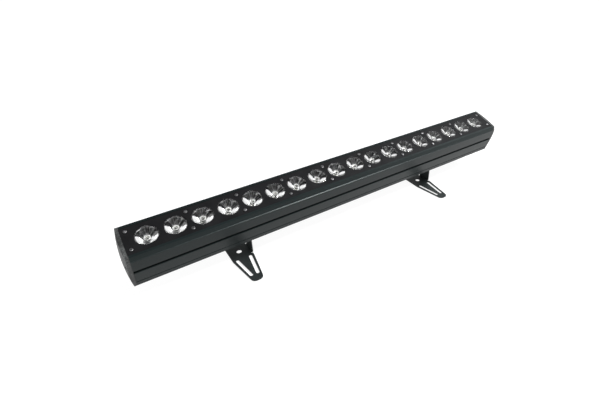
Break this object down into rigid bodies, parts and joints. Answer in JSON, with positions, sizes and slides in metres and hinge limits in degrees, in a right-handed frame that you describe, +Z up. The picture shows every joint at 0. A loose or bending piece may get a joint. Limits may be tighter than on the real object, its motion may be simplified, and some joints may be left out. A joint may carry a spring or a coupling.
{
  "type": "led batten",
  "caption": "Stage LED bar with a row of clear round lenses in a flat black panel, on two folded feet that tilt and slide along its underside.",
  "frame": {"origin": "on the floor, midway between the two feet and straight below the tilt axis", "axes": "+X along the bar towards the power-out end, -Y the side the lenses lean towards, +Z up"},
  "size_m": [1.006, 0.212, 0.1647],
  "materials": {
    "housing_anodised": "dark satin anodised",
    "zinc_steel": "zinc plated",
    "panel_black": "black satin",
    "screw_steel": "nickel plated",
    "moulded_black": "fine texture",
    "board_white": "solder mask",
    "led_yellow": "phosphor",
    "supply_case": "sheet case",
    "board_green": "solder mask",
    "display_glass": "glossy",
    "button_rubber": "satin",
    "socket_black": "moulded",
    "lens_clear": "clear",
    "cap_grey": "textured powder coat",
    "gasket_rubber": "matt",
    "bracket_black": "black powder coat"
  },
  "bodies": {
    "head": {"control_board": "board_green", "control_plate": "moulded_black", "display_window": "display_glass", "driver_board": "board_green", "end_cap_left": "cap_grey", "end_cap_right": "cap_grey", "end_cap_screws_left": "screw_steel", "end_cap_screws_right": "screw_steel", "end_gasket_left": "gasket_rubber", "end_gasket_right": "gasket_rubber", "front_panel": "panel_black", "fuse_holder": "moulded_black", "housing_extrusion": "housing_anodised", "led_board": "board_white", "led_packages": "led_yellow", "lens_01": "lens_clear", "lens_02": "lens_clear", "lens_03": "lens_clear", "lens_04": "lens_clear", "lens_05": "lens_clear", "lens_06": "lens_clear", "lens_07": "lens_clear", "lens_08": "lens_clear", "lens_09": "lens_clear", "lens_10": "lens_clear", "lens_11": "lens_clear", "lens_12": "lens_clear", "lens_13": "lens_clear", "lens_14": "lens_clear", "lens_15": "lens_clear", "lens_16": "lens_clear", "lens_17": "lens_clear", "lens_18": "lens_clear", "lens_tray": "moulded_black", "mounting_rail": "zinc_steel", "panel_screws": "screw_steel", "power_in_socket": "socket_black", "power_out_socket": "socket_black", "power_supply": "supply_case", "signal_in_socket": "socket_black", "signal_out_socket": "socket_black", "vent_plug": "moulded_black"},
    "button_menu_body": {"button_menu": "button_rubber"},
    "button_up_body": {"button_up": "button_rubber"},
    "button_down_body": {"button_down": "button_rubber"},
    "button_enter_body": {"button_enter": "button_rubber"},
    "carriage_left_body": {"carriage_left": "bracket_black", "slide_nut_left": "zinc_steel", "carriage_screws_left": "screw_steel", "tilt_bolt_left": "zinc_steel"},
    "foot_left_body": {"foot_left": "bracket_black", "foot_pads_left": "gasket_rubber"},
    "knob_left_body": {"tilt_knob_left": "moulded_black"},
    "carriage_right_body": {"carriage_right": "bracket_black", "slide_nut_right": "zinc_steel", "carriage_screws_right": "screw_steel", "tilt_bolt_right": "zinc_steel"},
    "foot_right_body": {"foot_right": "bracket_black", "foot_pads_right": "gasket_rubber"},
    "knob_right_body": {"tilt_knob_right": "moulded_black"}
  },
  "joints": [
    {"name": "press_menu", "type": "slide", "parent": "head", "child": "button_menu_body", "axis": [0, -0.9548, -0.2974], "range_m": [0, 0.0012], "stiffness_N_per_m": 600, "springref_m": -0.001},
    {"name": "press_up", "type": "slide", "parent": "head", "child": "button_up_body", "axis": [0, -0.9548, -0.2974], "range_m": [0, 0.0012], "stiffness_N_per_m": 600, "springref_m": -0.001},
    {"name": "press_down", "type": "slide", "parent": "head", "child": "button_down_body", "axis": [0, -0.9548, -0.2974], "range_m": [0, 0.0012], "stiffness_N_per_m": 600, "springref_m": -0.001},
    {"name": "press_enter", "type": "slide", "parent": "head", "child": "button_enter_body", "axis": [0, -0.9548, -0.2974], "range_m": [0, 0.0012], "stiffness_N_per_m": 600, "springref_m": -0.001},
    {"name": "slide_left", "type": "slide", "parent": "head", "child": "carriage_left_body", "axis": [1, 0, 0], "range_m": [-0.18, 0.235]},
    {"name": "tilt_left", "type": "hinge", "parent": "carriage_left_body", "child": "foot_left_body", "pos_m": [-0.275, 0, 0.057], "axis": [1, 0, 0], "range_deg": [-72.7, 107.3]},
    {"name": "clamp_left", "type": "hinge", "parent": "carriage_left_body", "child": "knob_left_body", "pos_m": [-0.275, 0, 0.057], "axis": [1, 0, 0], "range_deg": [-360, 0]},
    {"name": "slide_right", "type": "slide", "parent": "head", "child": "carriage_right_body", "axis": [1, 0, 0], "range_m": [-0.235, 0.18]},
    {"name": "tilt_right", "type": "hinge", "parent": "carriage_right_body", "child": "foot_right_body", "pos_m": [0.275, 0, 0.057], "axis": [1, 0, 0], "range_deg": [-72.7, 107.3]},
    {"name": "clamp_right", "type": "hinge", "parent": "carriage_right_body", "child": "knob_right_body", "pos_m": [0.275, 0, 0.057], "axis": [1, 0, 0], "range_deg": [-360, 0]}
  ]
}
